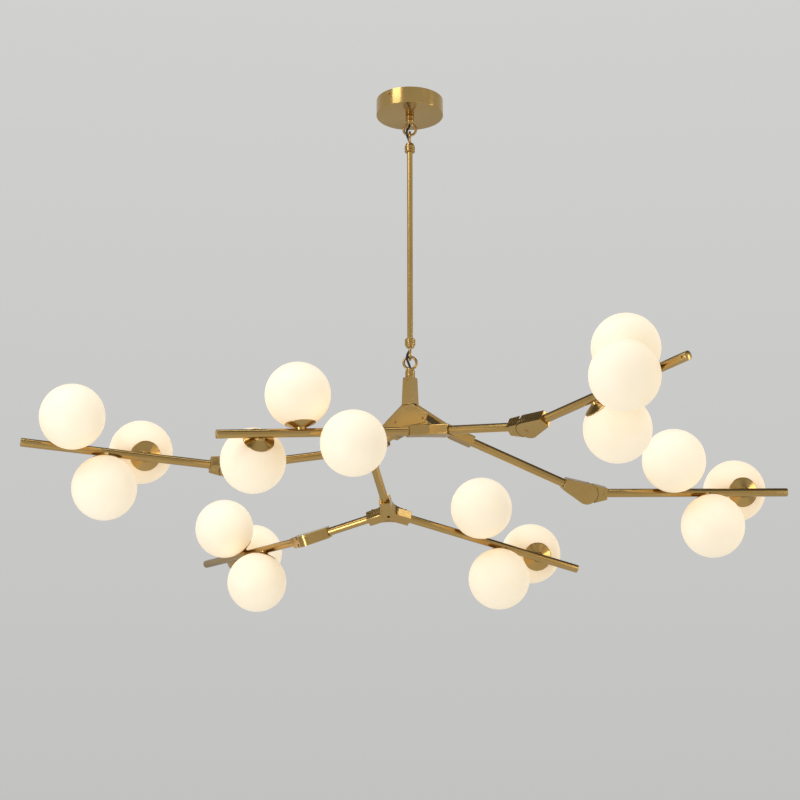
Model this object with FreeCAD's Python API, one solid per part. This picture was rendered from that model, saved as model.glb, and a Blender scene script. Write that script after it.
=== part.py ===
import FreeCAD, Part
import os
from math import asin, atan2, cos, pi, radians, sin, sqrt
from FreeCAD import Vector

# Branch chandelier with eighteen opal globes on six jointed rods.
# Millimetres, +Z up, +X to the right and +Y away from the viewer.
# The origin is the centre of the canopy's top face, which lies on the ceiling.

# ---------------------------------------------------------------- driving dimensions

# canopy and what it hides
canopy_radius = 65.0
canopy_height = 32.0
canopy_wall = 1.5
canopy_edge_radius = 2.0
bracket_plate_radius = 48.0
bracket_arm_width = 16.0
bracket_thickness = 2.0
bracket_slot_spacing = 70.0
bracket_slot_width = 5.0
bracket_slot_length = 14.0
bracket_wire_hole_radius = 9.0
bracket_play = 0.3
side_screw_heading = 230.0
bracket_ear_height = 12.0
side_screw_radius = 2.0
side_screw_head_radius = 3.5
side_screw_head_height = 2.0
side_screw_drop = 7.0
side_screw_play = 0.2
side_screw_thread_end = 3.0
terminal_block_size = (30.0, 17.0, 13.0)
terminal_block_side = 27.0
terminal_hole_radius = 1.8
terminal_hole_depth = 6.5

# hanging loops and down rod
loop_outer_radius = 14.5
loop_wire_radius = 2.5
loop_play = 0.3
canopy_collar_radius = 8.0
canopy_collar_height = 17.5
rod_collar_radius = 10.0
rod_top_collar_height = 17.7
rod_bottom_collar_height = 16.6
hub_collar_radius = 9.3
hub_collar_height = 18.2
loop_seat = 3.0
stem_radius = 5.0
stem_bore_radius = 2.5
stem_play = 0.1
spigot_length = 12.0
down_rod_length = 383.0
down_rod_radius = 5.5
down_rod_wall = 1.0
cable_radius = 2.2
cable_bulge = 5.8
cable_lead = 14.0
cable_leave = 4.0
cable_bow = 12.0
cable_bend_radius = 14.0
loop_nut_width = 16.0
loop_nut_height = 5.0
stem_above_nut = 6.0

# tubes, sockets and castings
tube_radius = 8.0
tube_wall = 1.0
tube_play = 0.05
socket_width = 22.0
socket_reach = 44.0
socket_floor = 24.0
socket_end_play = 0.2
socket_edge = 1.5
yoke_block_height = 19.5
link_root_height = 13.0
right_block_height = 19.0

neck_width = 20.0
neck_foot_width = 25.0
neck_top_height = 103.6
neck_foot_height = 50.0
neck_overlap = 6.0
grub_screw_drop = 6.0
grub_screw_length = 4.0
grub_screw_sunk = 0.4
wire_way_radius = 4.5
web_heading = -33.7
yoke_reach = 44.0
yoke_drop = 6.0
web_left_reach = 56.0
web_left_foot_height = 3.0
web_shoulder_height = 17.0
web_right_height = 8.0
web_foot_depth = 8.5
web_thickness = 22.0
right_arm_heading = 7.5
right_arm_reach = 77.0
right_arm_shoulder_height = 13.0
right_web_thickness = 20.0
plate_thickness = 2.5
plate_bottom_height = 8.0
plate_right_reach = 46.0
plate_right_height = 24.0
plate_cut_back = 7.0
plate_play = 0.1
chamber_wall = 5.0
chamber_left_reach = 20.0
chamber_right_reach = 12.0
plate_screw_left_reach = 28.0
plate_screw_left_height = 20.0
plate_screw_right_reach = 33.0
plate_screw_right_height = 18.0
plate_screw_length = 9.0
screw_slot_width = 0.8
screw_slot_depth = 0.7
small_screw_radius = 1.5
small_screw_head_radius = 2.9
small_screw_head_height = 1.6
junction_plate_reach = 34.0
junction_hollow_reach = 17.0
junction_hole_radius = 3.0

# friction elbows
elbow_round_radius = 20.0
elbow_thickness = 22.0
elbow_fork_reach = 48.0
elbow_tongue_reach = 39.0
elbow_tongue_thickness = 8.0
elbow_face_play = 0.15
elbow_slot_play = 0.4
elbow_shoulder_gap = 2.0
pivot_radius = 3.0
pivot_play = 0.05
pivot_head_radius = 4.5
pivot_head_depth = 2.0
pivot_head_play = 0.3
pivot_key_radius = 1.6
pivot_key_depth = 1.2
pivot_wall = 2.0
elbow_wire_radius = 3.0
elbow_wire_start = 16.0

# globe rods, alike but for their length inside the socket
globe_stations = (82.0, 158.0, 234.0)
globe_step_turn = 120.0
rod_end_thickness = 2.0

# one globe with its cup, lampholder and lamp
globe_radius = 60.0
globe_wall = 2.0
globe_centre_height = 71.0
globe_mouth_radius = 13.5
globe_mouth_play = 0.3
cup_rim_radius = 27.5
cup_foot_radius = 10.5
cup_wall = 1.2
cup_rim_play = 0.3
nipple_radius = 5.0
nipple_play = 0.1
nipple_bore_radius = 3.8
nipple_below_wall = 3.0
holder_radius = 9.5
holder_length = 22.0
holder_socket_depth = 10.0
lamp_play = 0.3
lamp_seat_play = 0.2
lamp_base_radius = 5.5
lamp_base_length = 14.0
lamp_radius = 7.5
lamp_length = 42.0
lamp_tip_radius = 4.5
lamp_tip_length = 5.0

# Places of the arms: heading in degrees from +X towards +Y, rise in degrees above level.
link_heading = 141.4
link_rise = -17.0
link_length = 104.0

left_arm_heading = 178.0
left_arm_rise = -7.0
left_arm_length = 264.0
far_left_heading = -161.6
far_left_rise = 2.0
far_left_reach = 393.0
far_left_roll = 52.0

front_left_heading = -160.7
front_left_rise = -6.3
front_left_reach = 407.0
front_left_roll = -119.0

front_arm_heading = -33.7
front_arm_rise = -6.8
front_arm_length = 211.0
front_right_heading = -53.5
front_right_rise = 3.8
front_right_reach = 405.0
front_right_roll = -108.0

right_arm_tube_heading = 18.5
right_arm_tube_rise = -19.2
right_arm_tube_length = 286.3
far_right_heading = 7.9
far_right_rise = 2.2
far_right_reach = 395.0
far_right_roll = 74.0

back_arm_heading = 79.0
back_arm_rise = -22.0
back_arm_length = 206.0
back_right_heading = 15.4
back_right_rise = -13.1
back_right_reach = 402.0
back_right_roll = 71.0

back_left_arm_heading = 159.0
back_left_arm_rise = -12.7
back_left_arm_length = 178.0
back_left_heading = 126.0
back_left_rise = 2.5
back_left_reach = 394.0
back_left_roll = -72.0

# ---------------------------------------------------------------- directions and frames

UP = Vector(0, 0, 1)
DOWN = Vector(0, 0, -1)
ORIGIN = Vector(0, 0, 0)


def direction(heading, rise):
    """Unit vector for a heading and a rise, both in degrees."""
    h = radians(heading)
    r = radians(rise)
    return Vector(cos(r) * cos(h), cos(r) * sin(h), sin(r))


def unit(v):
    return v / v.Length


def upright(along):
    """The direction nearest to up that is square to the given one."""
    return unit(UP - along * UP.dot(along))


def place(shape, origin, x_axis, z_axis):
    """Move a shape drawn about the origin so its X and Z lie along the given axes."""
    x = unit(x_axis)
    z = unit(z_axis)
    y = z.cross(x)
    frame = FreeCAD.Matrix(x.x, y.x, z.x, origin.x,
                           x.y, y.y, z.y, origin.y,
                           x.z, y.z, z.z, origin.z,
                           0, 0, 0, 1)
    moved = shape.copy()
    moved.Placement = FreeCAD.Placement(frame).multiply(shape.Placement)
    return moved


def rod(radius, start, along, length):
    return Part.makeCylinder(radius, length, start, along)


def pipe(outer, inner, start, along, length):
    return rod(outer, start, along, length).cut(rod(inner, start - along, along, length + 2))


def polygon(points):
    """Flat face in the XY plane through the given corners."""
    corners = [Vector(x, y, 0) for x, y in points]
    return Part.Face(Part.makePolygon(corners + corners[:1]))


def revolved(points):
    """Solid turned about Z from corners given as (radius, height)."""
    corners = [Vector(r, 0, z) for r, z in points]
    face = Part.Face(Part.makePolygon(corners + corners[:1]))
    return face.revolve(ORIGIN, UP, 360)


def fused(shapes):
    whole = shapes[0]
    for shape in shapes[1:]:
        whole = whole.fuse(shape)
    return whole.removeSplitter()


def chamfered_bar(width, height, length):
    """Bar along +X from the origin with bevelled long edges, centred on the X axis."""
    w = width / 2
    h = height / 2
    e = socket_edge
    section = [(w, h - e), (w - e, h), (-w + e, h), (-w, h - e),
               (-w, -h + e), (-w + e, -h), (w - e, -h), (w, -h + e)]
    bar = polygon(section).extrude(Vector(0, 0, length))
    return place(bar, ORIGIN, Vector(0, 1, 0), Vector(1, 0, 0))


# ---------------------------------------------------------------- hanging line

loop_centreline = loop_outer_radius - loop_wire_radius
loop_middle = loop_outer_radius - loop_seat
link_spacing = 2 * loop_wire_radius + loop_play

canopy_collar_end = DOWN * (canopy_height + canopy_collar_height)
canopy_ring_centre = canopy_collar_end + DOWN * loop_middle
upper_pivot = canopy_ring_centre + DOWN * loop_centreline
rod_top_ring_centre = upper_pivot + UP * (link_spacing - loop_centreline)
rod_top_collar_end = rod_top_ring_centre + DOWN * loop_middle
down_rod_top = rod_top_collar_end + DOWN * rod_top_collar_height
down_rod_bottom = down_rod_top + DOWN * down_rod_length
rod_bottom_collar_end = down_rod_bottom + DOWN * rod_bottom_collar_height
rod_bottom_ring_centre = rod_bottom_collar_end + DOWN * loop_middle
lower_pivot = rod_bottom_ring_centre + DOWN * loop_centreline
hub_ring_centre = lower_pivot + UP * (link_spacing - loop_centreline)
hub_collar_end = hub_ring_centre + DOWN * loop_middle
neck_top = hub_collar_end + DOWN * hub_collar_height

# ---------------------------------------------------------------- skeleton

hub_centre = neck_top + DOWN * neck_top_height
web_along = direction(web_heading, 0)
yoke_centre = hub_centre + web_along * yoke_reach - UP * yoke_drop
right_root = hub_centre + direction(right_arm_heading, 0) * right_arm_reach

link_along = direction(link_heading, link_rise)
link_root = hub_centre + UP * link_root_height
left_junction_centre = link_root + link_along * link_length
left_arm_along = direction(left_arm_heading, left_arm_rise)
left_elbow_centre = left_junction_centre + left_arm_along * left_arm_length
back_arm_along = direction(back_arm_heading, back_arm_rise)
back_junction_centre = left_junction_centre + back_arm_along * back_arm_length
back_left_arm_along = direction(back_left_arm_heading, back_left_arm_rise)
back_left_elbow_centre = back_junction_centre + back_left_arm_along * back_left_arm_length
front_arm_along = direction(front_arm_heading, front_arm_rise)
front_right_elbow_centre = yoke_centre + front_arm_along * front_arm_length
right_arm_along = direction(right_arm_tube_heading, right_arm_tube_rise)
far_right_elbow_centre = right_root + right_arm_along * right_arm_tube_length

# branch: centre it leaves, direction, reach from that centre to the rod's free end, roll
branches = {
    "far_left": (left_elbow_centre, direction(far_left_heading, far_left_rise),
                 far_left_reach, far_left_roll),
    "front_left": (yoke_centre, direction(front_left_heading, front_left_rise),
                   front_left_reach, front_left_roll),
    "front_right": (front_right_elbow_centre, direction(front_right_heading, front_right_rise),
                    front_right_reach, front_right_roll),
    "far_right": (far_right_elbow_centre, direction(far_right_heading, far_right_rise),
                  far_right_reach, far_right_roll),
    "back_right": (back_junction_centre, direction(back_right_heading, back_right_rise),
                   back_right_reach, back_right_roll),
    "back_left": (back_left_elbow_centre, direction(back_left_heading, back_left_rise),
                  back_left_reach, back_left_roll),
}

# elbow: centre, direction it is reached from, direction it leaves in, side that holds the fork
elbows = {
    "far_left": (left_elbow_centre, left_arm_along, "arm"),
    "front_right": (front_right_elbow_centre, front_arm_along, "rod"),
    "far_right": (far_right_elbow_centre, right_arm_along, "arm"),
    "back_left": (back_left_elbow_centre, back_left_arm_along, "arm"),
}

# arm tubes: the two centres that each one joins
arm_tubes = {
    "link_tube": (link_root, left_junction_centre),
    "left_arm_tube": (left_junction_centre, left_elbow_centre),
    "back_arm_tube": (left_junction_centre, back_junction_centre),
    "back_left_arm_tube": (back_junction_centre, back_left_elbow_centre),
    "front_arm_tube": (yoke_centre, front_right_elbow_centre),
    "right_arm_tube": (right_root, far_right_elbow_centre),
}

tube_start = socket_floor + socket_end_play

# ---------------------------------------------------------------- sockets


def socket_block(centre, along, height):
    """Upright block from a centre out to the mouth of its socket."""
    return place(chamfered_bar(socket_width, height, socket_reach), centre, along, upright(along))


def socket_bore(centre, along):
    """Seat of a tube, from its floor out past the mouth."""
    return rod(tube_radius + tube_play, centre + along * socket_floor, along, 2 * socket_reach)


# ---------------------------------------------------------------- canopy


def canopy_cover():
    """Spun dish, open at the ceiling, with a rounded lower edge."""
    outer = rod(canopy_radius, Vector(0, 0, -canopy_height), UP, canopy_height)
    circles = [e for e in outer.Edges if len(e.Vertexes) == 1]
    lower_edge = [e for e in circles if e.Vertexes[0].Z < -canopy_height / 2]
    outer = outer.makeFillet(canopy_edge_radius, lower_edge)
    floor = canopy_height - canopy_wall
    inner = rod(canopy_radius - canopy_wall, Vector(0, 0, -floor), UP, floor + 1)
    stem_hole = rod(stem_radius + stem_play, Vector(0, 0, -canopy_height - 1), UP, canopy_wall + 2)
    cover = outer.cut(inner).cut(stem_hole)
    for along in side_screw_directions():
        cover = cover.cut(rod(side_screw_radius + side_screw_play, DOWN * side_screw_drop, along,
                              2 * canopy_radius))
    return cover


def side_screw_directions():
    first = direction(side_screw_heading, 0)
    return [first, first * -1]


def mounting_bracket():
    """Slotted steel plate on the ceiling, with two bent ears for the side screws."""
    ear_outer = canopy_radius - canopy_wall - bracket_play
    plate = rod(bracket_plate_radius, ORIGIN, DOWN, bracket_thickness)
    arm = Part.makeBox(2 * ear_outer, bracket_arm_width, bracket_thickness,
                       Vector(-ear_outer, -bracket_arm_width / 2, -bracket_thickness))
    ears = [Part.makeBox(bracket_thickness, bracket_arm_width, bracket_ear_height,
                         Vector(x, -bracket_arm_width / 2, -bracket_ear_height))
            for x in (-ear_outer, ear_outer - bracket_thickness)]
    first = side_screw_directions()[0]
    arm_and_ears = place(fused([arm] + ears), ORIGIN, first, UP)
    bracket = fused([plate, arm_and_ears]).common(rod(ear_outer, ORIGIN, DOWN, canopy_height))
    straight = bracket_slot_length - bracket_slot_width
    for side in (-1, 1):
        middle = side * bracket_slot_spacing / 2
        slot = Part.makeBox(straight, bracket_slot_width, 3 * bracket_thickness,
                            Vector(middle - straight / 2, -bracket_slot_width / 2, -2 * bracket_thickness))
        ends = [rod(bracket_slot_width / 2, Vector(middle + end * straight / 2, 0, bracket_thickness),
                    DOWN, 3 * bracket_thickness) for end in (-1, 1)]
        bracket = bracket.cut(fused([slot] + ends))
    for along in side_screw_directions():
        bracket = bracket.cut(rod(side_screw_radius + tube_play, DOWN * side_screw_drop, along,
                                  canopy_radius))
    return bracket.cut(rod(bracket_wire_hole_radius, UP * bracket_thickness, DOWN, 3 * bracket_thickness))


def canopy_side_screws():
    """Round-headed screws through the canopy wall into the bracket's ears."""
    screws = []
    for along in side_screw_directions():
        middle = Vector(0, 0, -side_screw_drop)
        shank_start = canopy_radius - canopy_wall - bracket_thickness - side_screw_thread_end
        shank = rod(side_screw_radius, middle + along * shank_start, along,
                    canopy_radius - shank_start)
        head = rod(side_screw_head_radius, middle + along * canopy_radius, along,
                   side_screw_head_height)
        screws.append(fused([shank, head]))
    return Part.makeCompound(screws)


# ---------------------------------------------------------------- loops


def loop(ring_centre, normal, collar_end, toward, collar, shank):
    """Ring seated in a turned collar, with a hollow shank that goes into what carries it.

    The collar and the shank are each given as (radius, length).
    """
    ring = Part.makeTorus(loop_centreline, loop_wire_radius, ring_centre, normal)
    turned = rod(collar[0], collar_end, toward, collar[1])
    stem = rod(shank[0], collar_end + toward * collar[1], toward, shank[1])
    bore = rod(stem_bore_radius, collar_end - toward * loop_seat, toward,
               collar[1] + shank[1] + 2 * loop_seat)
    return fused([ring, turned, stem]).cut(bore)


canopy_stem_length = canopy_wall + loop_nut_height + stem_above_nut
spigot_radius = down_rod_radius - down_rod_wall - tube_play
FACE_ON = Vector(0, 1, 0)
EDGE_ON = Vector(1, 0, 0)


def canopy_loop():
    return loop(canopy_ring_centre, FACE_ON, canopy_collar_end, UP,
                (canopy_collar_radius, canopy_collar_height), (stem_radius, canopy_stem_length))


def canopy_loop_nut():
    """Hexagonal nut on the loop's stem, tight on the canopy floor from inside."""
    corner_radius = loop_nut_width / sqrt(3)
    seat = canopy_wall - canopy_height
    corners = [(corner_radius * cos(k * pi / 3), corner_radius * sin(k * pi / 3)) for k in range(6)]
    nut = polygon(corners).extrude(Vector(0, 0, loop_nut_height))
    nut.translate(Vector(0, 0, seat))
    return nut.cut(rod(stem_radius + tube_play, Vector(0, 0, seat - 1), UP, loop_nut_height + 2))


def rod_top_loop():
    return loop(rod_top_ring_centre, EDGE_ON, rod_top_collar_end, DOWN,
                (rod_collar_radius, rod_top_collar_height), (spigot_radius, spigot_length))


def rod_bottom_loop():
    return loop(rod_bottom_ring_centre, EDGE_ON, rod_bottom_collar_end, UP,
                (rod_collar_radius, rod_bottom_collar_height), (spigot_radius, spigot_length))


def down_rod():
    return pipe(down_rod_radius, down_rod_radius - down_rod_wall, down_rod_bottom, UP, down_rod_length)


def hub_loop():
    return loop(hub_ring_centre, FACE_ON, hub_collar_end, DOWN,
                (hub_collar_radius, hub_collar_height), (stem_radius, spigot_length))


def rounded_path(points, radius):
    """Wire of straight runs through the points, joined by tangent arcs."""
    edges = []
    last = points[0]
    for before, corner, after in zip(points, points[1:], points[2:]):
        a = unit(before - corner)
        b = unit(after - corner)
        half_turn = (pi - a.getAngle(b)) / 2
        back = radius * sin(half_turn) / cos(half_turn)
        start = corner + a * back
        end = corner + b * back
        towards = unit(a + b)
        middle = corner + towards * (radius / cos(half_turn) - radius)
        edges.append(Part.LineSegment(last, start).toShape())
        edges.append(Part.Arc(start, middle, end).toShape())
        last = end
    edges.append(Part.LineSegment(last, points[-1]).toShape())
    return Part.Wire(edges)


def link_cable(upper_collar_end, lower_collar_end):
    """Supply cable from one hollow collar to the next, bowed out beside the two ring wires."""
    side = Vector(-cable_bulge, -cable_bulge, 0)
    points = [upper_collar_end + UP * cable_lead,
              upper_collar_end + DOWN * cable_leave,
              upper_collar_end + DOWN * (cable_leave + cable_bow) + side,
              lower_collar_end + UP * (cable_leave + cable_bow) + side,
              lower_collar_end + UP * cable_leave,
              lower_collar_end + DOWN * cable_lead]
    path = rounded_path(points, cable_bend_radius)
    section = Part.Wire(Part.makeCircle(cable_radius, points[0], DOWN))
    cable = path.makePipeShell([section], True, False)
    print("cable bend radius", cable_bend_radius, "volume against section times length:",
          round(cable.Volume / (pi * cable_radius ** 2 * path.Length), 4))
    return cable


def terminal_block():
    """Three-way block for the mains wires, fixed under the bracket strap."""
    length, width, height = terminal_block_size
    block = Part.makeBox(length, width, height,
                         Vector(-length / 2, -width / 2, -bracket_thickness - height))
    middle = -bracket_thickness - height / 2
    for k in (-1, 0, 1):
        for way in (-1, 1):
            mouth = Vector(k * length / 3, way * width / 2, middle)
            block = block.cut(rod(terminal_hole_radius, mouth, Vector(0, -way, 0), terminal_hole_depth))
    block.translate(Vector(0, terminal_block_side, 0))
    return block


# ---------------------------------------------------------------- main hub

web_normal = UP.cross(web_along) * -1
right_along = direction(right_arm_heading, 0)
web_back = web_thickness / 2
web_front = web_thickness / 2 - plate_thickness


def web(along, outline, back, front):
    """Upright plate through the hub axis, from back to front of it; outline as (reach, height)."""
    normal = UP.cross(along) * -1
    plate = polygon(outline).extrude(Vector(0, 0, back + front))
    plate.translate(Vector(0, 0, -back))
    return place(plate, hub_centre, along, normal)


def neck():
    """Square neck that widens along the web towards its foot."""
    def outline(width, depth, height):
        w = width / 2
        d = depth / 2
        corners = [(w, d), (-w, d), (-w, -d), (w, -d), (w, d)]
        return Part.makePolygon([Vector(x, y, height) for x, y in corners])
    foot = outline(neck_foot_width, web_thickness, neck_foot_height - neck_overlap)
    top = outline(neck_width, neck_width, neck_top_height)
    return place(Part.makeLoft([foot, top], True), hub_centre, web_along, UP)


def gusset():
    """Flat flare from the neck's corner down to the yoke and to the right arm's root."""
    corners = [(hub_centre, neck_foot_height),
               (hub_centre + web_along * yoke_reach + web_normal * web_front, web_right_height),
               (hub_centre + right_along * right_arm_reach, right_arm_shoulder_height)]
    low = [corner + DOWN * web_foot_depth for corner, _ in corners]
    high = [corner + UP * height for corner, height in corners]
    high[0] = high[0] + unit(web_along + right_along) * (neck_foot_width / 2)
    low[0] = Vector(high[0].x, high[0].y, low[0].z)
    outlines = [low, high] + [[low[k], low[k - 1], high[k - 1], high[k]] for k in range(3)]
    faces = [Part.Face(Part.makePolygon(points + points[:1])) for points in outlines]
    return Part.Solid(Part.Shell(faces))


def web_outline():
    """Outline of the casting's main web as (reach along the web, height)."""
    foot = neck_foot_width / 2
    right_end = yoke_reach + 2
    return [(-web_left_reach, web_left_foot_height), (-web_left_reach, web_shoulder_height),
            (-foot, neck_foot_height), (foot, neck_foot_height),
            (right_end, web_right_height), (right_end, -web_foot_depth), (0, -web_foot_depth)]


def right_web_outline():
    """Outline of the web that carries the right arm, as (reach along that arm, height)."""
    foot = neck_foot_width / 2
    right_end = right_arm_reach + 4
    return [(0, neck_foot_height), (foot, neck_foot_height),
            (right_arm_reach - 6, right_arm_shoulder_height), (right_end, right_block_height / 3),
            (right_end, 2 - web_foot_depth), (0, -web_foot_depth)]


def plate_outline(play):
    """Cover plate as (reach along the web, height): it follows the flare of the casting."""
    foot = neck_foot_width / 2
    top = neck_foot_height - 1 + play
    bottom = plate_bottom_height - play
    return [(-web_left_reach - play, web_shoulder_height + play), (-foot, top), (foot - 1, top),
            (plate_right_reach + play, plate_right_height + play),
            (plate_right_reach - plate_cut_back + play, bottom),
            (5 - web_left_reach - play, bottom)]


def chamber_outline():
    """Wiring chamber behind the cover plate."""
    bottom = plate_bottom_height + chamber_wall
    top = neck_foot_height - 8
    return [(-chamber_left_reach, bottom), (-8, top), (7, top),
            (chamber_right_reach + 3, bottom + 10), (chamber_right_reach, bottom)]


def main_hub():
    """Casting that carries the neck, the two webs and the four arm sockets."""
    left_right_web = web(web_along, web_outline(), web_back, web_back)
    half = right_web_thickness / 2
    right_web = web(right_along, right_web_outline(), half, half)
    arms = [(link_root, link_along, yoke_block_height),
            (yoke_centre, branches["front_left"][1], yoke_block_height),
            (yoke_centre, front_arm_along, yoke_block_height),
            (right_root, right_arm_along, right_block_height)]
    blocks = [socket_block(centre, along, height) for centre, along, height in arms]
    body = fused([neck(), left_right_web, right_web, gusset()] + blocks)
    yoke_way = yoke_centre - hub_centre
    cuts = [web(web_along, plate_outline(plate_play), -web_front, 2 * web_thickness),
            web(web_along, chamber_outline(), 0, web_thickness),
            rod(wire_way_radius, hub_centre, yoke_way, yoke_way.Length),
            rod(wire_way_radius, hub_centre, right_along, right_arm_reach),
            rod(wire_way_radius, hub_centre, UP, neck_top_height + 1),
            rod(stem_radius + tube_play, neck_top + UP, DOWN, spigot_length + 1 + socket_end_play)]
    for centre, along, _ in arms:
        cuts.append(rod(wire_way_radius, centre, along, socket_floor + 1))
        cuts.append(socket_bore(centre, along))
    for start, out, length in plate_screw_seats() + [grub_screw_seat()]:
        depth = length + 1 + socket_end_play
        cuts.append(rod(small_screw_radius + tube_play, start + out, out * -1, depth))
    for cut in cuts:
        body = body.cut(cut)
    return body


def hub_cover_plate():
    plate = web(web_along, plate_outline(0), -web_front, web_back)
    for start, out, length in plate_screw_seats():
        plate = plate.cut(rod(small_screw_radius + side_screw_play, start + out, out * -1, length + 2))
    return plate


def plate_screw_seats():
    """Head seat, outward direction and shank length of the two screws of the cover plate."""
    face = hub_centre + web_normal * web_back
    left = face - web_along * plate_screw_left_reach + UP * plate_screw_left_height
    right = face + web_along * plate_screw_right_reach + UP * plate_screw_right_height
    return [(left, web_normal, plate_screw_length), (right, web_normal, plate_screw_length)]


def grub_screw_seat():
    """Outer end, outward direction and length of the grub screw that locks the loop's stem."""
    face = web_normal * (neck_width / 2 - grub_screw_sunk)
    return (neck_top + DOWN * grub_screw_drop + face, web_normal, grub_screw_length)


def screw_slot(start, out):
    """Screwdriver slot across a small screw's end."""
    length = 4 * small_screw_head_radius
    slot = Part.makeBox(length, screw_slot_width, 2 * screw_slot_depth,
                        Vector(-length / 2, -screw_slot_width / 2, -screw_slot_depth))
    return place(slot, start, unit(web_along + UP), out)


def hub_screws():
    """The two slotted screws of the cover plate and the grub screw in the neck."""
    screws = []
    for start, out, length in plate_screw_seats():
        shank = rod(small_screw_radius, start, out * -1, length)
        head = rod(small_screw_head_radius, start, out, small_screw_head_height)
        screws.append(fused([shank, head]).cut(screw_slot(start + out * small_screw_head_height, out)))
    start, out, length = grub_screw_seat()
    screws.append(rod(small_screw_radius, start, out * -1, length).cut(screw_slot(start, out)))
    return Part.makeCompound(screws)


# ---------------------------------------------------------------- three-way junctions


def polar(radius, angle):
    """Point of the XY plane at a radius and an angle in radians."""
    return Vector(radius * cos(angle), radius * sin(angle), 0)


def junction(centre, alongs):
    """Flat three-way casting with hollowed sides between its socket blocks."""
    normal = unit((alongs[1] - alongs[0]).cross(alongs[2] - alongs[0]))
    if normal.z > 0:
        normal = normal * -1
    first = unit(alongs[0] - normal * normal.dot(alongs[0]))
    second = normal.cross(first)
    angles = sorted(atan2(a.dot(second), a.dot(first)) for a in alongs)
    half = socket_width / 2 - socket_edge
    reach = junction_plate_reach
    hollow = junction_hollow_reach
    edges = []
    for k, angle in enumerate(angles):
        following = angles[(k + 1) % 3] + (2 * pi if k == 2 else 0)
        near = polar(reach, angle) - polar(half, angle + pi / 2)
        far = polar(reach, angle) + polar(half, angle + pi / 2)
        onward = polar(reach, following) - polar(half, following + pi / 2)
        waist = polar(hollow, (angle + following) / 2)
        edges.append(Part.makeLine(near, far))
        edges.append(Part.Arc(far, waist, onward).toShape())
    plate = Part.Face(Part.Wire(edges)).extrude(Vector(0, 0, socket_width))
    plate.translate(Vector(0, 0, -socket_width / 2))
    plate = place(plate, centre, first, normal)
    blocks = [place(chamfered_bar(socket_width, socket_width, socket_reach), centre, a,
                    unit(normal - a * normal.dot(a))) for a in alongs]
    body = fused([plate] + blocks)
    for a in alongs:
        body = body.cut(socket_bore(centre, a)).cut(rod(wire_way_radius, centre, a, socket_floor + 1))
    return body.cut(rod(junction_hole_radius, centre, normal, socket_width))


def left_junction():
    return junction(left_junction_centre, [link_along * -1, left_arm_along, back_arm_along])


def back_junction():
    return junction(back_junction_centre,
                    [back_arm_along * -1, back_left_arm_along, branches["back_right"][1]])


# ---------------------------------------------------------------- friction elbows


def teardrop(reach):
    """Elbow outline: round about the pivot at the origin, narrowing to a mouth along +X."""
    r = elbow_round_radius
    half = socket_width / 2
    tangent = atan2(half, reach) + pi / 2 - asin(r / sqrt(reach ** 2 + half ** 2))
    touch = polar(r, tangent)
    mirror = polar(r, -tangent)
    top = Vector(reach, half, 0)
    bottom = Vector(reach, -half, 0)
    edges = [Part.makeLine(bottom, top), Part.makeLine(top, touch),
             Part.Arc(touch, Vector(-r, 0, 0), mirror).toShape(), Part.makeLine(mirror, bottom)]
    body = Part.Face(Part.Wire(edges)).extrude(Vector(0, 0, elbow_thickness))
    body.translate(Vector(0, 0, -elbow_thickness / 2))
    return body


def drum(play, low, high):
    """Round space about the pivot, wider than the elbow by the play."""
    return rod(elbow_round_radius + play, Vector(0, 0, low), UP, high - low)


def fork():
    """Two round cheeks with a slot between them, on one socket."""
    slot = elbow_tongue_thickness / 2 + elbow_face_play
    return teardrop(elbow_fork_reach).cut(drum(elbow_slot_play, -slot, slot))


def tongue():
    """A single round leaf between the cheeks, widening to a socket of full thickness."""
    leaf = elbow_tongue_thickness / 2
    outside = elbow_thickness
    whole = teardrop(elbow_tongue_reach)
    return whole.cut(drum(elbow_shoulder_gap, leaf, outside)).cut(drum(elbow_shoulder_gap, -outside, -leaf))


def elbow_directions(name):
    centre, arriving, fork_side = elbows[name]
    leaving = branches[name][1]
    axis = unit(arriving.cross(leaving))
    sides = {"arm": arriving * -1, "rod": leaving}
    tongue_side = "rod" if fork_side == "arm" else "arm"
    return centre, axis, sides[fork_side], sides[tongue_side]


def pivot_head_way(name):
    """The cheek that shows the screw head: in front at the front elbow, else at the back."""
    return 1 if elbows[name][2] == "rod" else -1


def pivot_hole(name):
    """Hole for the pivot screw and its sunk head, drawn about the pivot."""
    way = pivot_head_way(name)
    half = elbow_thickness / 2
    along = UP * way
    shank = rod(pivot_radius + pivot_play, along * (pivot_wall - half), along, elbow_thickness)
    head = rod(pivot_head_radius + pivot_head_play, along * (half - pivot_head_depth), along,
               2 * pivot_head_depth)
    return shank.fuse(head)


def elbow_piece(name, body, along, axis, centre):
    piece = place(body.cut(pivot_hole(name)), centre, along, axis)
    return piece.cut(socket_bore(centre, along)).cut(
        rod(elbow_wire_radius, centre + along * elbow_wire_start, along, socket_floor))


def elbow_fork(name):
    centre, axis, fork_along, _ = elbow_directions(name)
    return elbow_piece(name, fork(), fork_along, axis, centre)


def elbow_tongue(name):
    centre, axis, _, tongue_along = elbow_directions(name)
    return elbow_piece(name, tongue(), tongue_along, axis, centre)


def elbow_pivot_screws():
    """One shoulder screw through each elbow, threaded into the far cheek."""
    screws = []
    half = elbow_thickness / 2
    for name in elbows:
        centre, axis, fork_along, _ = elbow_directions(name)
        way = UP * pivot_head_way(name)
        shank = rod(pivot_radius, way * (pivot_wall + socket_end_play - half), way,
                    elbow_thickness - pivot_wall - pivot_head_depth)
        head = rod(pivot_head_radius, way * (half - pivot_head_depth), way, pivot_head_depth)
        recess = rod(pivot_key_radius, way * (half - pivot_key_depth), way, 2 * pivot_key_depth)
        screws.append(place(fused([shank, head]).cut(recess), centre, fork_along, axis))
    return Part.makeCompound(screws)


# ---------------------------------------------------------------- tubes and globe rods


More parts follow.
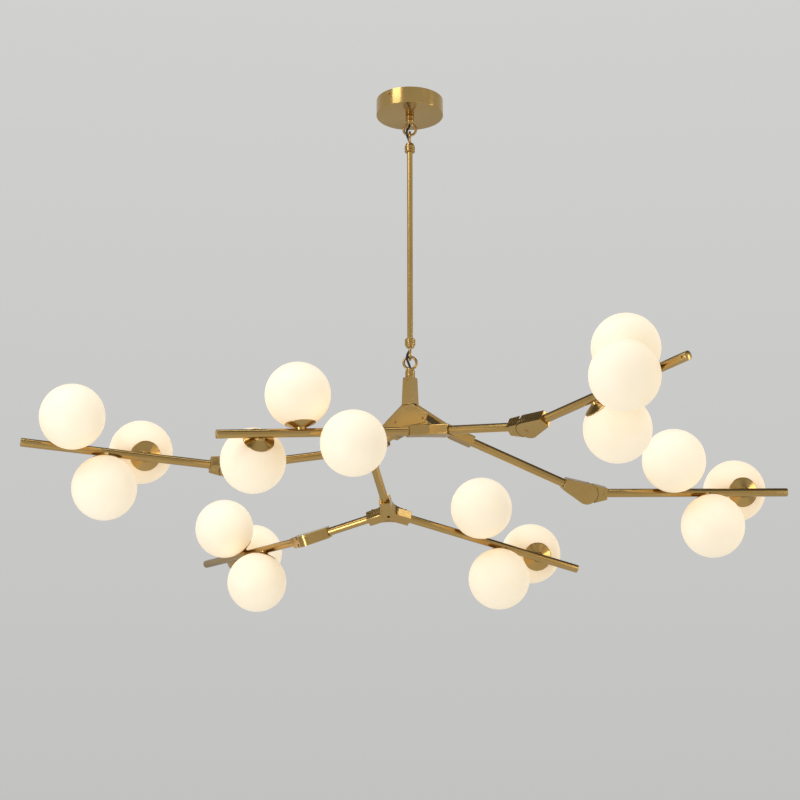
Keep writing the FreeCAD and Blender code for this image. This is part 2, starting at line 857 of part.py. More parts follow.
def arm_tube(name):
    start, end = arm_tubes[name]
    along = unit(end - start)
    length = (end - start).Length - 2 * tube_start
    return pipe(tube_radius, tube_radius - tube_wall, start + along * tube_start, along, length)


def rod_end(name):
    centre, along, reach, _ = branches[name]
    return centre + along * reach


def globe_axes(name):
    """Rod axis point and outward direction of each globe, a third of a turn apart."""
    _, along, _, roll = branches[name]
    up = upright(along)
    side = up.cross(along)
    axes = []
    for k, station in enumerate(globe_stations):
        turn = radians(roll + k * globe_step_turn)
        axes.append((rod_end(name) - along * station, up * cos(turn) + side * sin(turn)))
    return axes


def globe_rod(name):
    """Tube with a closed flat end and a hole for each globe's nipple."""
    centre, along, reach, _ = branches[name]
    start = centre + along * tube_start
    body = pipe(tube_radius, tube_radius - tube_wall, start, along, reach - tube_start)
    body = body.fuse(rod(tube_radius, rod_end(name), along * -1, rod_end_thickness)).removeSplitter()
    for point, outward in globe_axes(name):
        body = body.cut(rod(nipple_radius + nipple_play, point, outward, tube_radius + 5))
    return body


# ---------------------------------------------------------------- globe units, drawn along +Z

globe_mouth_height = globe_centre_height - sqrt(globe_radius ** 2 - globe_mouth_radius ** 2)
cup_floor_height = tube_radius + 1.0
cup_top_height = cup_floor_height + cup_wall
cup_collar_height = globe_mouth_height + globe_wall


def under_globe(radius, play):
    """Height of the surface that lies the given play below the globe."""
    return globe_centre_height - sqrt((globe_radius + play) ** 2 - radius ** 2)


def cup():
    """Shallow cone that hugs the globe, saddled on the rod, with a collar in the globe's mouth."""
    hole = nipple_radius + nipple_play
    rim = cup_rim_radius
    lip = cup_rim_radius + cup_wall
    inside = cup_rim_radius - cup_wall
    collar = globe_mouth_radius - globe_mouth_play
    seat_edge = collar + cup_wall
    middle = (inside + seat_edge) / 2
    profile = [(hole, 0),
               (cup_foot_radius - cup_wall, 0),
               (cup_foot_radius, cup_floor_height),
               (rim, under_globe(rim, cup_rim_play + cup_wall)),
               (lip, under_globe(lip, cup_wall)),
               (lip, under_globe(lip, cup_rim_play)),
               (inside, under_globe(inside, cup_rim_play)),
               (middle, under_globe(middle, cup_rim_play)),
               (seat_edge, under_globe(seat_edge, cup_rim_play)),
               (collar, under_globe(collar, 2 * cup_rim_play)),
               (collar, cup_collar_height),
               (collar - cup_wall, cup_collar_height),
               (collar - cup_wall, cup_top_height),
               (hole, cup_top_height)]
    seat = rod(tube_radius + tube_play, Vector(-rim, 0, 0), Vector(1, 0, 0), 2 * rim)
    return revolved(profile).cut(seat)


def globe():
    """Blown opal ball with an open mouth over the lampholder."""
    centre = Vector(0, 0, globe_centre_height)
    outer = Part.makeSphere(globe_radius, centre)
    inner = Part.makeSphere(globe_radius - globe_wall, centre)
    mouth = rod(globe_mouth_radius, ORIGIN, UP, globe_centre_height)
    return outer.cut(inner).cut(mouth)


def lampholder():
    """Ceramic holder on a hollow nipple through the cup and the rod wall."""
    top = cup_top_height + holder_length
    foot = tube_radius - tube_wall - nipple_below_wall
    socket = lamp_base_radius + lamp_play
    profile = [(nipple_bore_radius, foot), (nipple_radius, foot),
               (nipple_radius, cup_top_height), (holder_radius, cup_top_height),
               (holder_radius, top), (socket, top),
               (socket, top - holder_socket_depth), (nipple_bore_radius, top - holder_socket_depth)]
    return revolved(profile)


def lamp():
    """Pin-base capsule lamp standing in the holder."""
    base = cup_top_height + holder_length - holder_socket_depth + lamp_seat_play
    shoulder = base + lamp_base_length
    flare = lamp_radius - lamp_base_radius
    tip = base + lamp_length
    profile = [(0, base), (lamp_base_radius, base), (lamp_base_radius, shoulder),
               (lamp_radius, shoulder + flare), (lamp_radius, tip - lamp_tip_length),
               (lamp_tip_radius, tip - lamp_tip_length / 5), (0, tip)]
    return revolved(profile)


def on_rods(shape, names):
    """Copies of a piece at every globe station of the named rods."""
    copies = []
    for name in names:
        along = branches[name][1]
        for point, outward in globe_axes(name):
            copies.append(place(shape, point, along, outward))
    return Part.makeCompound(copies)


# ---------------------------------------------------------------- write one file per piece

turning_branches = ["far_left", "front_right", "far_right", "back_left"]
fixed_branches = ["front_left", "back_right"]

pieces = {
    "canopy_cover": canopy_cover(),
    "mounting_bracket": mounting_bracket(),
    "canopy_side_screws": canopy_side_screws(),
    "canopy_loop": canopy_loop(),
    "canopy_loop_nut": canopy_loop_nut(),
    "terminal_block": terminal_block(),
    "supply_cable_upper": link_cable(canopy_collar_end, rod_top_collar_end),
    "rod_top_loop": rod_top_loop(),
    "down_rod": down_rod(),
    "rod_bottom_loop": rod_bottom_loop(),
    "supply_cable_lower": link_cable(rod_bottom_collar_end, hub_collar_end),
    "hub_loop": hub_loop(),
    "main_hub": main_hub(),
    "hub_cover_plate": hub_cover_plate(),
    "hub_screws": hub_screws(),
    "left_junction": left_junction(),
    "back_junction": back_junction(),
    "elbow_pivot_screws": elbow_pivot_screws(),
}
for name in arm_tubes:
    pieces[name] = arm_tube(name)
for name in elbows:
    pieces[name + "_elbow_fork"] = elbow_fork(name)
    pieces[name + "_elbow_tongue"] = elbow_tongue(name)
for name in branches:
    pieces[name + "_globe_rod"] = globe_rod(name)
    pieces[name + "_cups"] = on_rods(cup(), [name])
    pieces[name + "_globes"] = on_rods(globe(), [name])
for name in turning_branches:
    pieces[name + "_lampholders"] = on_rods(lampholder(), [name])
    pieces[name + "_lamps"] = on_rods(lamp(), [name])
pieces["fixed_lampholders"] = on_rods(lampholder(), fixed_branches)
pieces["fixed_lamps"] = on_rods(lamp(), fixed_branches)

os.makedirs("parts", exist_ok=True)
for name, shape in pieces.items():
    shape.exportStep("parts/" + name + ".step")

print(len(pieces), "pieces; hub centre", round(hub_centre.z, 1), "pivots", round(upper_pivot.z, 2),
      round(lower_pivot.z, 2))
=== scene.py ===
from math import acos, cos, pi, radians, sin, sqrt

import bmesh
import bpy
from mathutils import Matrix, Vector


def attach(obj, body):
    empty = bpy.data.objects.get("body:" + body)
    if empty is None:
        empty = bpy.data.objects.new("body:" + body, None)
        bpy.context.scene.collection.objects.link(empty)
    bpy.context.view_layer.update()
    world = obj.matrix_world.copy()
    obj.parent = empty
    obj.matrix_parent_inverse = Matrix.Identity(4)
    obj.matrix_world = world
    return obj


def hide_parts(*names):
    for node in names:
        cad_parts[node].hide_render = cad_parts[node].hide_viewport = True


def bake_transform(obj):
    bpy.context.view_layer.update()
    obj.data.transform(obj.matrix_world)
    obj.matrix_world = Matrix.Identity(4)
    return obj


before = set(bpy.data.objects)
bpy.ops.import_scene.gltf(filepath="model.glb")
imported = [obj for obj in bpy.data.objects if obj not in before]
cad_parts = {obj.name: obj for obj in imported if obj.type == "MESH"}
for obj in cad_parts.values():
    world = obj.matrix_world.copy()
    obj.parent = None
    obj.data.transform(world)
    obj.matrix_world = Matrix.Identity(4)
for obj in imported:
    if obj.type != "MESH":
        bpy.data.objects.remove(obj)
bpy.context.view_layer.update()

# Branch chandelier: looks. Sizes and places are millimetres, as in the solids, and MM turns them
# into metres. Only the lamps, the backdrop and the camera are placed in metres.
MM = 0.001
UP = Vector((0, 0, 1))
DOWN = Vector((0, 0, -1))
FACE_ON = Vector((0, 1, 0))
EDGE_ON = Vector((1, 0, 0))

# ---------------------------------------------------------------- sizes shared with the solids

CANOPY_RADIUS = 65.0
CANOPY_HEIGHT = 32.0
CANOPY_WALL = 1.5
STEM_HOLE = 5.1

LOOP_CENTRELINE = 12.0
LOOP_WIRE = 2.5
LOOP_SEAT = 3.0
LOOP_MIDDLE = LOOP_CENTRELINE + LOOP_WIRE - LOOP_SEAT
LINK_SPACING = 5.3
STEM_RADIUS = 5.0
# collar of a loop: radius, height
CANOPY_COLLAR = (8.0, 17.5)
ROD_TOP_COLLAR = (10.0, 17.7)
ROD_BOTTOM_COLLAR = (10.0, 16.6)
HUB_COLLAR = (9.3, 18.2)

DOWN_ROD_LENGTH = 383.0
DOWN_ROD_RADIUS = 5.5
DOWN_ROD_WALL = 1.0
CABLE_RADIUS = 2.2
CABLE_BULGE = 5.8
CABLE_LEAD = 14.0
CABLE_LEAVE = 4.0
CABLE_BOW = 12.0

TUBE_RADIUS = 8.0
TUBE_WALL = 1.0
TUBE_START = 24.2
SOCKET_HALF = 11.0

GLOBE_RADIUS = 60.0
GLOBE_WALL = 2.0
GLOBE_CENTRE = 71.0
GLOBE_MOUTH = 13.5
STATIONS = (82.0, 158.0, 234.0)
STATION_TURN = 120
CUP_RIM = 27.5
CUP_WALL = 1.2
CUP_PLAY = 0.3
CUP_FOOT = 10.5
CUP_BASE = 4.0
CUP_FLOOR = 9.0
CUP_TOP = 10.2
CUP_COLLAR_TOP = 14.5
NIPPLE_HOLE = 5.1

NECK_HEIGHT = 103.6
WEB_HEADING = -33.7
YOKE_REACH = 44.0
YOKE_DROP = 6.0
RIGHT_ROOT_HEADING = 7.5
RIGHT_ROOT_REACH = 77.0
LINK_ROOT_HEIGHT = 13.0
# arm: heading and rise in degrees, length from centre to centre
LINK_ARM = (141.4, -17.0, 104.0)
LEFT_ARM = (178.0, -7.0, 264.0)
BACK_ARM = (79.0, -22.0, 206.0)
BACK_LEFT_ARM = (159.0, -12.7, 178.0)
FRONT_ARM = (-33.7, -6.8, 211.0)
RIGHT_ARM = (18.5, -19.2, 286.3)

# ---------------------------------------------------------------- sizes of the looks alone

SPIGOT_RADIUS = 4.2
CABLE_STRAIGHT = 5.0
CABLE_BLEND = 8.0
GROOVE_DEPTH = 0.5
# height of each groove of a collar, as a share of the collar's
GROOVE_PLACES = (0.52, 0.70)
# a groove's floor begins, floor ends, and groove ends, from where it starts
GROOVE_STEPS = (0.4, 1.0, 1.4)
GRUB_RADIUS = 2.6
GRUB_STATION = 31.0
ROD_END_EASE = 0.7
ROD_END_EASE_MIDDLE = 0.25
PLUG_DEPTH = 3.0
PIN_HOLE_STATION = 8.0
PIN_HOLE_RADIUS = 1.6
# the drill's zero lies this far out from the rod's axis, and it reaches from and to these
DRILL_SEAT = 5.0
DRILL_FROM = -4.0
DRILL_TO = 12.0
# edges of a casting that are eased: how sharp in degrees, and how long at least
SHARP_EDGE = 30
LONG_EDGE = 2.5

# ---------------------------------------------------------------- places


def direction(heading, rise):
    """Unit vector for a heading and a rise in degrees."""
    h = radians(heading)
    r = radians(rise)
    return Vector((cos(r) * cos(h), cos(r) * sin(h), sin(r)))


def far_end(start, arm):
    """Direction of an arm, and the centre at its far end."""
    heading, rise, length = arm
    along = direction(heading, rise)
    return along, start + along * length


canopy_collar_end = DOWN * (CANOPY_HEIGHT + CANOPY_COLLAR[1])
canopy_ring = canopy_collar_end + DOWN * LOOP_MIDDLE
upper_pivot = canopy_ring + DOWN * LOOP_CENTRELINE
rod_top_ring = upper_pivot + UP * (LINK_SPACING - LOOP_CENTRELINE)
rod_top_collar_end = rod_top_ring + DOWN * LOOP_MIDDLE
down_rod_top = rod_top_collar_end + DOWN * ROD_TOP_COLLAR[1]
down_rod_bottom = down_rod_top + DOWN * DOWN_ROD_LENGTH
rod_bottom_collar_end = down_rod_bottom + DOWN * ROD_BOTTOM_COLLAR[1]
rod_bottom_ring = rod_bottom_collar_end + DOWN * LOOP_MIDDLE
lower_pivot = rod_bottom_ring + DOWN * LOOP_CENTRELINE
hub_ring = lower_pivot + UP * (LINK_SPACING - LOOP_CENTRELINE)
hub_collar_end = hub_ring + DOWN * LOOP_MIDDLE
neck_top = hub_collar_end + DOWN * HUB_COLLAR[1]

hub = neck_top + DOWN * NECK_HEIGHT
yoke = hub + direction(WEB_HEADING, 0) * YOKE_REACH - UP * YOKE_DROP
right_root = hub + direction(RIGHT_ROOT_HEADING, 0) * RIGHT_ROOT_REACH
link_root = hub + UP * LINK_ROOT_HEIGHT
_, left_junction = far_end(link_root, LINK_ARM)
left_arm, left_elbow = far_end(left_junction, LEFT_ARM)
_, back_junction = far_end(left_junction, BACK_ARM)
back_left_arm, back_left_elbow = far_end(back_junction, BACK_LEFT_ARM)
front_arm, front_right_elbow = far_end(yoke, FRONT_ARM)
right_arm, far_right_elbow = far_end(right_root, RIGHT_ARM)

# branch: body, centre it leaves, direction, reach to the free end, roll of the first globe
BRANCHES = {
    "far_left": ("far_left_branch", left_elbow, direction(-161.6, 2.0), 393.0, 52.0),
    "front_left": ("hub", yoke, direction(-160.7, -6.3), 407.0, -119.0),
    "front_right": ("front_right_branch", front_right_elbow, direction(-53.5, 3.8), 405.0, -108.0),
    "far_right": ("far_right_branch", far_right_elbow, direction(7.9, 2.2), 395.0, 74.0),
    "back_right": ("hub", back_junction, direction(15.4, -13.1), 402.0, 71.0),
    "back_left": ("back_left_branch", back_left_elbow, direction(126.0, 2.5), 394.0, -72.0),
}
# elbow: centre, direction it is reached from, body of the fork, body of the tongue
ELBOWS = {
    "far_left": (left_elbow, left_arm, "hub", "far_left_branch"),
    "front_right": (front_right_elbow, front_arm, "front_right_branch", "hub"),
    "far_right": (far_right_elbow, right_arm, "hub", "far_right_branch"),
    "back_left": (back_left_elbow, back_left_arm, "hub", "back_left_branch"),
}
# arm tube: the centres that it runs between
ARM_TUBES = {
    "link_tube": (link_root, left_junction),
    "left_arm_tube": (left_junction, left_elbow),
    "back_arm_tube": (left_junction, back_junction),
    "back_left_arm_tube": (back_junction, back_left_elbow),
    "front_arm_tube": (yoke, front_right_elbow),
    "right_arm_tube": (right_root, far_right_elbow),
}

# ---------------------------------------------------------------- materials

# ramp stops: place and colour
BRASS_TONES = [(0.30, (0.485, 0.312, 0.106)), (0.55, (0.525, 0.345, 0.121)),
               (0.75, (0.575, 0.387, 0.145))]
BRASS_STREAKS = [(0.25, (0.93, 0.92, 0.91)), (0.75, (1.0, 1.0, 1.0))]
OPAL_CLOUDS = [(0.3, (0.80, 0.765, 0.69)), (0.7, (0.83, 0.80, 0.735))]
# glow of a globe from its mouth (0) to its top (1): darker and warmer near the mouth as painted
# shade of the lampholder and cup, brightest round the middle
OPAL_GLOW_AND_PAINTED_SHADE = [(0.0, (0.40, 0.25, 0.12)), (0.22, (0.47, 0.345, 0.18)),
             (0.55, (0.49, 0.395, 0.245)), (1.0, (0.47, 0.385, 0.25))]
FLOOR_TONES = [(0.3, (0.74, 0.74, 0.73)), (0.7, (0.76, 0.76, 0.75))]
# length in metres round a globe from its mouth over which the glow changes, rising out of the
# painted shade near the mouth
OPAL_PAINTED_SHADE_LENGTH = 0.175
# depth in metres of the fine relief on metal and mouldings
FINE_RELIEF = 0.0002
MOTTLE_RELIEF = 0.08


def fill_ramp(ramp, stops):
    """Gives a colour ramp its stops."""
    while len(ramp.elements) < len(stops):
        ramp.elements.new(0.5)
    for element, (place, colour) in zip(ramp.elements, stops):
        element.position = place
        element.color = (*colour, 1)


def seen_directly(tree):
    """1 for rays that show the backdrop itself, straight or in gloss or glass; 0 for its light."""
    path = tree.nodes.new("ShaderNodeLightPath")
    seen = path.outputs["Is Camera Ray"]
    for ray in ("Is Glossy Ray", "Is Transmission Ray"):
        either = tree.nodes.new("ShaderNodeMath")
        either.operation = "MAXIMUM"
        tree.links.new(seen, either.inputs[0])
        tree.links.new(path.outputs[ray], either.inputs[1])
        seen = either.outputs[0]
    return seen


class Maker:
    """A material's node tree with short calls to add and join nodes."""

    def __init__(self, name):
        self.material = bpy.data.materials.new(name)
        self.material.use_nodes = True
        self.tree = self.material.node_tree
        self.shader = self.tree.nodes["Principled BSDF"]

    def node(self, kind, **settings):
        made = self.tree.nodes.new(kind)
        for key, value in settings.items():
            if key in made.inputs:
                made.inputs[key].default_value = value
            else:
                setattr(made, key, value)
        return made

    def join(self, out, into):
        self.tree.links.new(out, into)

    def set(self, **values):
        for key, value in values.items():
            self.shader.inputs[key.replace("_", " ")].default_value = value

    def coordinates(self, kind, scale):
        source = self.node("ShaderNodeTexCoord")
        mapping = self.node("ShaderNodeMapping", Scale=scale)
        self.join(source.outputs[kind], mapping.inputs["Vector"])
        return mapping.outputs["Vector"]

    def noise(self, vector, scale, detail=3.0, rough=0.55):
        made = self.node("ShaderNodeTexNoise", Scale=scale, Detail=detail, Roughness=rough)
        self.join(vector, made.inputs["Vector"])
        return made.outputs["Fac"]

    def ramp(self, factor, stops):
        made = self.node("ShaderNodeValToRGB")
        fill_ramp(made.color_ramp, stops)
        self.join(factor, made.inputs["Fac"])
        return made.outputs["Color"]

    def spread(self, factor, low, high, start=0.3, end=0.7):
        made = self.node("ShaderNodeMapRange")
        made.inputs["From Min"].default_value = start
        made.inputs["From Max"].default_value = end
        made.inputs["To Min"].default_value = low
        made.inputs["To Max"].default_value = high
        self.join(factor, made.inputs["Value"])
        return made.outputs["Result"]

    def bump(self, height, strength, distance):
        made = self.node("ShaderNodeBump", Strength=strength, Distance=distance)
        self.join(height, made.inputs["Height"])
        self.join(made.outputs["Normal"], self.shader.inputs["Normal"])


def brass(name, kind, grain, rough, relief, turned=False):
    """Satin lacquered brass; the grain is how fine the brushing is along each axis, per metre."""
    m = Maker(name)
    m.set(Metallic=1.0, Coat_Weight=0.06, Coat_Roughness=0.15)
    brushing = m.noise(m.coordinates(kind, grain), 1.0, 3.0, 0.55)
    patches = m.noise(m.coordinates("Object", (1, 1, 1)), 9.0, 2.0, 0.5)
    tone = m.ramp(patches, BRASS_TONES)
    streak = m.ramp(brushing, BRASS_STREAKS)
    if turned:
        # turning marks run round the axis, so the gloss spreads across them
        m.set(Anisotropic=0.72, Anisotropic_Rotation=0.25)
        round_axis = m.node("ShaderNodeTangent", direction_type="RADIAL", axis="Z")
        m.join(round_axis.outputs["Tangent"], m.shader.inputs["Tangent"])
    mixed = m.node("ShaderNodeMix", data_type="RGBA", blend_type="MULTIPLY")
    mixed.inputs["Factor"].default_value = 1.0
    m.join(tone, mixed.inputs["A"])
    m.join(streak, mixed.inputs["B"])
    m.join(mixed.outputs["Result"], m.shader.inputs["Base Color"])
    m.join(m.spread(brushing, *rough), m.shader.inputs["Roughness"])
    m.bump(brushing, relief, FINE_RELIEF)
    return m.material


def opal():
    """Opal glass lit from inside: milky, satin outside, with its glow darker and warmer towards the
    lampholder as painted shade of the lampholder and cup.
    """
    m = Maker("opal_glass")
    m.set(Roughness=0.48, IOR=1.4)
    source = m.node("ShaderNodeTexCoord")
    split = m.node("ShaderNodeSeparateXYZ")
    m.join(source.outputs["UV"], split.inputs["Vector"])
    height = m.spread(split.outputs["Y"], 0.0, 1.0, 0.0, OPAL_PAINTED_SHADE_LENGTH)
    cloud = m.noise(source.outputs["Object"], 22.0, 2.0, 0.5)
    m.join(m.ramp(cloud, OPAL_CLOUDS), m.shader.inputs["Base Color"])
    # the glow darkens and warms towards the mouth: painted shade of the lampholder and cup
    m.join(m.ramp(height, OPAL_GLOW_AND_PAINTED_SHADE), m.shader.inputs["Emission Color"])
    m.set(Emission_Strength=1.0)
    m.bump(cloud, 0.02, 0.0005)
    return m.material


def plain_stuff(name, dark, light, scale, rough, **shader):
    """Moulded or glazed material with a fine mottle."""
    m = Maker(name)
    m.set(**shader)
    mottle = m.noise(m.coordinates("Object", (1, 1, 1)), scale, 4.0, 0.6)
    m.join(m.ramp(mottle, [(0.3, dark), (0.7, light)]), m.shader.inputs["Base Color"])
    m.join(m.spread(mottle, *rough), m.shader.inputs["Roughness"])
    m.bump(mottle, MOTTLE_RELIEF, FINE_RELIEF)
    return m.material


drawn_brass = brass("drawn_brass", "UV", (1500, 3, 1), (0.18, 0.25), 0.003)
turned_brass = brass("turned_brass", "UV", (1, 1800, 1), (0.15, 0.23), 0.006, True)
spun_brass = brass("spun_brass", "UV", (0.6, 1500, 1), (0.18, 0.26), 0.006, True)
wire_brass = brass("wire_brass", "UV", (900, 6, 1), (0.12, 0.2), 0.003)
bright_brass = brass("bright_brass", "Object", (90, 90, 90), (0.30, 0.36), 0.002)
cast_brass = brass("cast_brass", "Object", (120, 120, 300), (0.17, 0.23), 0.004)
opal_glass = opal()
frosted_lamp = plain_stuff("frosted_lamp", (0.88, 0.84, 0.74), (0.95, 0.92, 0.84), 300, (0.3, 0.45),
                           Emission_Color=(1.0, 0.86, 0.62, 1), Emission_Strength=1.2)
ceramic = plain_stuff("white_ceramic", (0.76, 0.75, 0.71), (0.84, 0.83, 0.80), 120, (0.16, 0.3),
                      Coat_Weight=0.5)
sleeve = plain_stuff("cable_sleeve", (0.008, 0.008, 0.009), (0.022, 0.022, 0.023), 1500,
                     (0.38, 0.55))
block_plastic = plain_stuff("terminal_plastic", (0.70, 0.69, 0.64), (0.78, 0.77, 0.72), 400,
                            (0.42, 0.55))
zinc = plain_stuff("zinc_plated_steel", (0.50, 0.51, 0.52), (0.66, 0.67, 0.68), 180, (0.28, 0.42),
                   Metallic=1.0)

# ---------------------------------------------------------------- making meshes


def placed(origin, x_axis, z_axis):
    """Matrix, in metres, that lays X and Z along the given axes at a point given in mm."""
    z = z_axis.normalized()
    x = (x_axis - z * x_axis.dot(z)).normalized()
    y = z.cross(x)
    made = Matrix((x, y, z)).transposed().to_4x4()
    made.translation = origin * MM
    return made


def any_side(along):
    """A direction square to the given one."""
    other = UP if abs(along.z) < 0.9 else Vector((1, 0, 0))
    return (other - along * other.dot(along)).normalized()


def eased(profile, size, steps=3):
    """The same corners with each inner one rounded off by about the given size."""
    points = [Vector(p) for p in profile]
    out = [points[0]]
    for before, corner, after in zip(points, points[1:], points[2:]):
        a = before - corner
        b = after - corner
        if a.length < 1e-6 or b.length < 1e-6 or a.angle(b) > radians(165):
            out.append(corner)
            continue
        back = min(size, a.length * 0.45, b.length * 0.45)
        start = corner + a.normalized() * back
        end = corner + b.normalized() * back
        for k in range(steps + 1):
            t = k / steps
            out.append(start * (1 - t) ** 2 + corner * 2 * t * (1 - t) + end * t ** 2)
    out.append(points[-1])
    return [(p.x, p.y) for p in out]


def lathe(profile, segments, bm=None):
    """Turned surface about Z from (radius, height) in mm, with UVs in metres round and along."""
    bm = bm or bmesh.new()
    uv = bm.loops.layers.uv.verify()
    widest = max(r for r, _ in profile)
    along = [0.0]
    for (r0, z0), (r1, z1) in zip(profile, profile[1:]):
        along.append(along[-1] + sqrt((r1 - r0) ** 2 + (z1 - z0) ** 2))
    rings = []
    for r, z in profile:
        if r < 1e-6:
            rings.append([bm.verts.new(Vector((0, 0, z * MM)))] * segments)
            continue
        ring = []
        for k in range(segments):
            turn = 2 * pi * k / segments
            ring.append(bm.verts.new(Vector((r * cos(turn), r * sin(turn), z)) * MM))
        rings.append(ring)
    for row in range(len(profile) - 1):
        for k in range(segments):
            n = (k + 1) % segments
            corners = [(rings[row][k], k, row), (rings[row][n], k + 1, row),
                       (rings[row + 1][n], k + 1, row + 1), (rings[row + 1][k], k, row + 1)]
            kept = []
            for corner in corners:
                if all(corner[0] is not other[0] for other in kept):
                    kept.append(corner)
            if len(kept) < 3:
                continue
            face = bm.faces.new([c[0] for c in kept])
            for loop, (_, turn, place) in zip(face.loops, kept):
                loop[uv].uv = (2 * pi * widest * MM * turn / segments, along[place] * MM)
    return bm


def torus(bm, centre, normal, big, small, around=96, across=28):
    """Ring of round wire about a point in mm."""
    uv = bm.loops.layers.uv.verify()
    matrix = placed(centre, any_side(normal), normal)
    rings = []
    for k in range(around):
        turn = 2 * pi * k / around
        ring = []
        for j in range(across):
            bend = 2 * pi * j / across
            r = big + small * cos(bend)
            point = Vector((r * cos(turn), r * sin(turn), small * sin(bend)))
            ring.append(bm.verts.new(matrix @ (point * MM)))
        rings.append(ring)
    for k in range(around):
        for j in range(across):
            k2 = (k + 1) % around
            j2 = (j + 1) % across
            face = bm.faces.new([rings[k][j], rings[k2][j], rings[k2][j2], rings[k][j2]])
            spots = ((k, j), (k + 1, j), (k + 1, j + 1), (k, j + 1))
            for loop, (turn, bend) in zip(face.loops, spots):
                loop[uv].uv = (2 * pi * small * MM * bend / across,
                               2 * pi * big * MM * turn / around)
    return bm


def piece(name, bm, finish, body, nodes=(), matrix=None, sharp=32, blend=None, baked=False):
    """Puts a finished mesh in the scene, on its body, standing for its CAD nodes."""
    bmesh.ops.recalc_face_normals(bm, faces=bm.faces)
    mesh = bpy.data.meshes.new(name)
    bm.to_mesh(mesh)
    bm.free()
    mesh.polygons.foreach_set("use_smooth", [True] * len(mesh.polygons))
    mesh.set_sharp_from_angle(angle=radians(sharp))
    mesh.materials.append(finish)
    made = bpy.data.objects.new(name, mesh)
    bpy.context.scene.collection.objects.link(made)
    if matrix is not None and baked:
        mesh.transform(matrix.to_3x3().to_4x4())
        made.location = matrix.translation
    elif matrix is not None:
        made.matrix_world = matrix
    if blend:
        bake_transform(made)
    else:
        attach(made, body)
    if nodes:
        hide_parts(*nodes)
    return made


def keep_modifiers(target):
    """Turns what a piece's modifiers make into its own mesh."""
    bpy.context.view_layer.update()
    shape = target.evaluated_get(bpy.context.evaluated_depsgraph_get())
    plain = target.data
    target.modifiers.clear()
    target.data = bpy.data.meshes.new_from_object(shape)
    bpy.data.meshes.remove(plain)


def dressed(node, finish, body, edge):
    """The node's own form as a new piece, with its long edges eased as on finished metal."""
    bm = bmesh.new()
    bm.from_mesh(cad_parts[node].data)
    bmesh.ops.remove_doubles(bm, verts=bm.verts, dist=2e-6)
    bmesh.ops.dissolve_limit(bm, angle_limit=radians(0.6), verts=bm.verts, edges=bm.edges)
    if edge:
        long_edges = [e for e in bm.edges
                      if e.is_manifold and e.calc_face_angle(0) > radians(SHARP_EDGE)
                      and e.calc_length() > LONG_EDGE * MM]
        bmesh.ops.bevel(bm, geom=long_edges, offset=edge * MM, segments=2, profile=0.5,
                        affect="EDGES", clamp_overlap=False)
    made = piece(node + "_finished", bm, finish, body, [node], sharp=40)
    # flat faces keep their own normal, and only the eased edges turn the light
    weighted = made.modifiers.new("flat_faces", "WEIGHTED_NORMAL")
    weighted.weight = 100
    weighted.keep_sharp = True
    keep_modifiers(made)


def repaint(node, finish):
    """A CAD node that keeps its own shape gets its material."""
    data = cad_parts[node].data
    data.materials.clear()
    data.materials.append(finish)


# ---------------------------------------------------------------- canopy and hanging line


def canopy_shell():
    """Spun dish with a hole for the loop's stem and rounded edges."""
    floor = CANOPY_HEIGHT - CANOPY_WALL
    inside = CANOPY_RADIUS - CANOPY_WALL
    outer = [(STEM_HOLE, -CANOPY_HEIGHT), (CANOPY_RADIUS, -CANOPY_HEIGHT), (CANOPY_RADIUS, 0)]
    inner = [(CANOPY_RADIUS - 0.3, 0), (inside, 0), (inside, -floor), (STEM_HOLE, -floor),
             (STEM_HOLE, -CANOPY_HEIGHT)]
    return lathe(eased(outer, 1.2, 6) + eased(inner, 0.4, 2), 160)


piece("canopy_shell", canopy_shell(), spun_brass, "canopy", ["canopy_cover"])


def groove(radius, start):
    """Corners of a shallow groove round a collar, from the height where it starts."""
    floor_start, floor_end, end = GROOVE_STEPS
    return [(radius, start), (radius - GROOVE_DEPTH, start + floor_start),
            (radius - GROOVE_DEPTH, start + floor_end), (radius, start + end)]


def linked_loop(name, node, body, ring, normal, collar_end, toward, collar, shank):
    """Closed ring of bright wire in a turned collar with a shoulder and two grooves."""
    radius, height = collar
    torus_bm = torus(bmesh.new(), ring, normal, LOOP_CENTRELINE, LOOP_WIRE)
    piece(name + "_wire", torus_bm, wire_brass, body, [node])
    profile = [(0, -0.6), (radius * 0.62, -0.6), (radius * 0.80, 0.8), (radius * 0.80, 3.4),
               (radius * 0.92, 4.2), (radius, 5.2)]
    for place in GROOVE_PLACES:
        profile += groove(radius, height * place)
    profile += [(radius, height - 0.8), (radius - 0.8, height), (shank, height),
                (shank, height + 4), (0, height + 4)]
    piece(name + "_collar", lathe(eased(profile, 0.35, 2), 72), turned_brass, body,
          [node], placed(collar_end, any_side(toward), toward))


linked_loop("canopy_ring", "canopy_loop", "canopy", canopy_ring, FACE_ON, canopy_collar_end, UP,
            CANOPY_COLLAR, STEM_RADIUS)
linked_loop("rod_top_ring", "rod_top_loop", "suspension_rod", rod_top_ring, EDGE_ON,
            rod_top_collar_end, DOWN, ROD_TOP_COLLAR, SPIGOT_RADIUS)
linked_loop("rod_bottom_ring", "rod_bottom_loop", "suspension_rod", rod_bottom_ring, EDGE_ON,
            rod_bottom_collar_end, UP, ROD_BOTTOM_COLLAR, SPIGOT_RADIUS)
linked_loop("hub_ring", "hub_loop", "hub", hub_ring, FACE_ON, hub_collar_end, DOWN, HUB_COLLAR,
            STEM_RADIUS)


def tube_profile(radius, wall, length):
    """Outline of a plain open tube's wall."""
    return [(radius - wall, 0), (radius, 0), (radius, length), (radius - wall, length),
            (radius - wall, 0)]


piece("down_rod_tube", lathe(tube_profile(DOWN_ROD_RADIUS, DOWN_ROD_WALL, DOWN_ROD_LENGTH), 48),
      drawn_brass, "suspension_rod", ["down_rod"],
      placed(down_rod_bottom, EDGE_ON, UP))


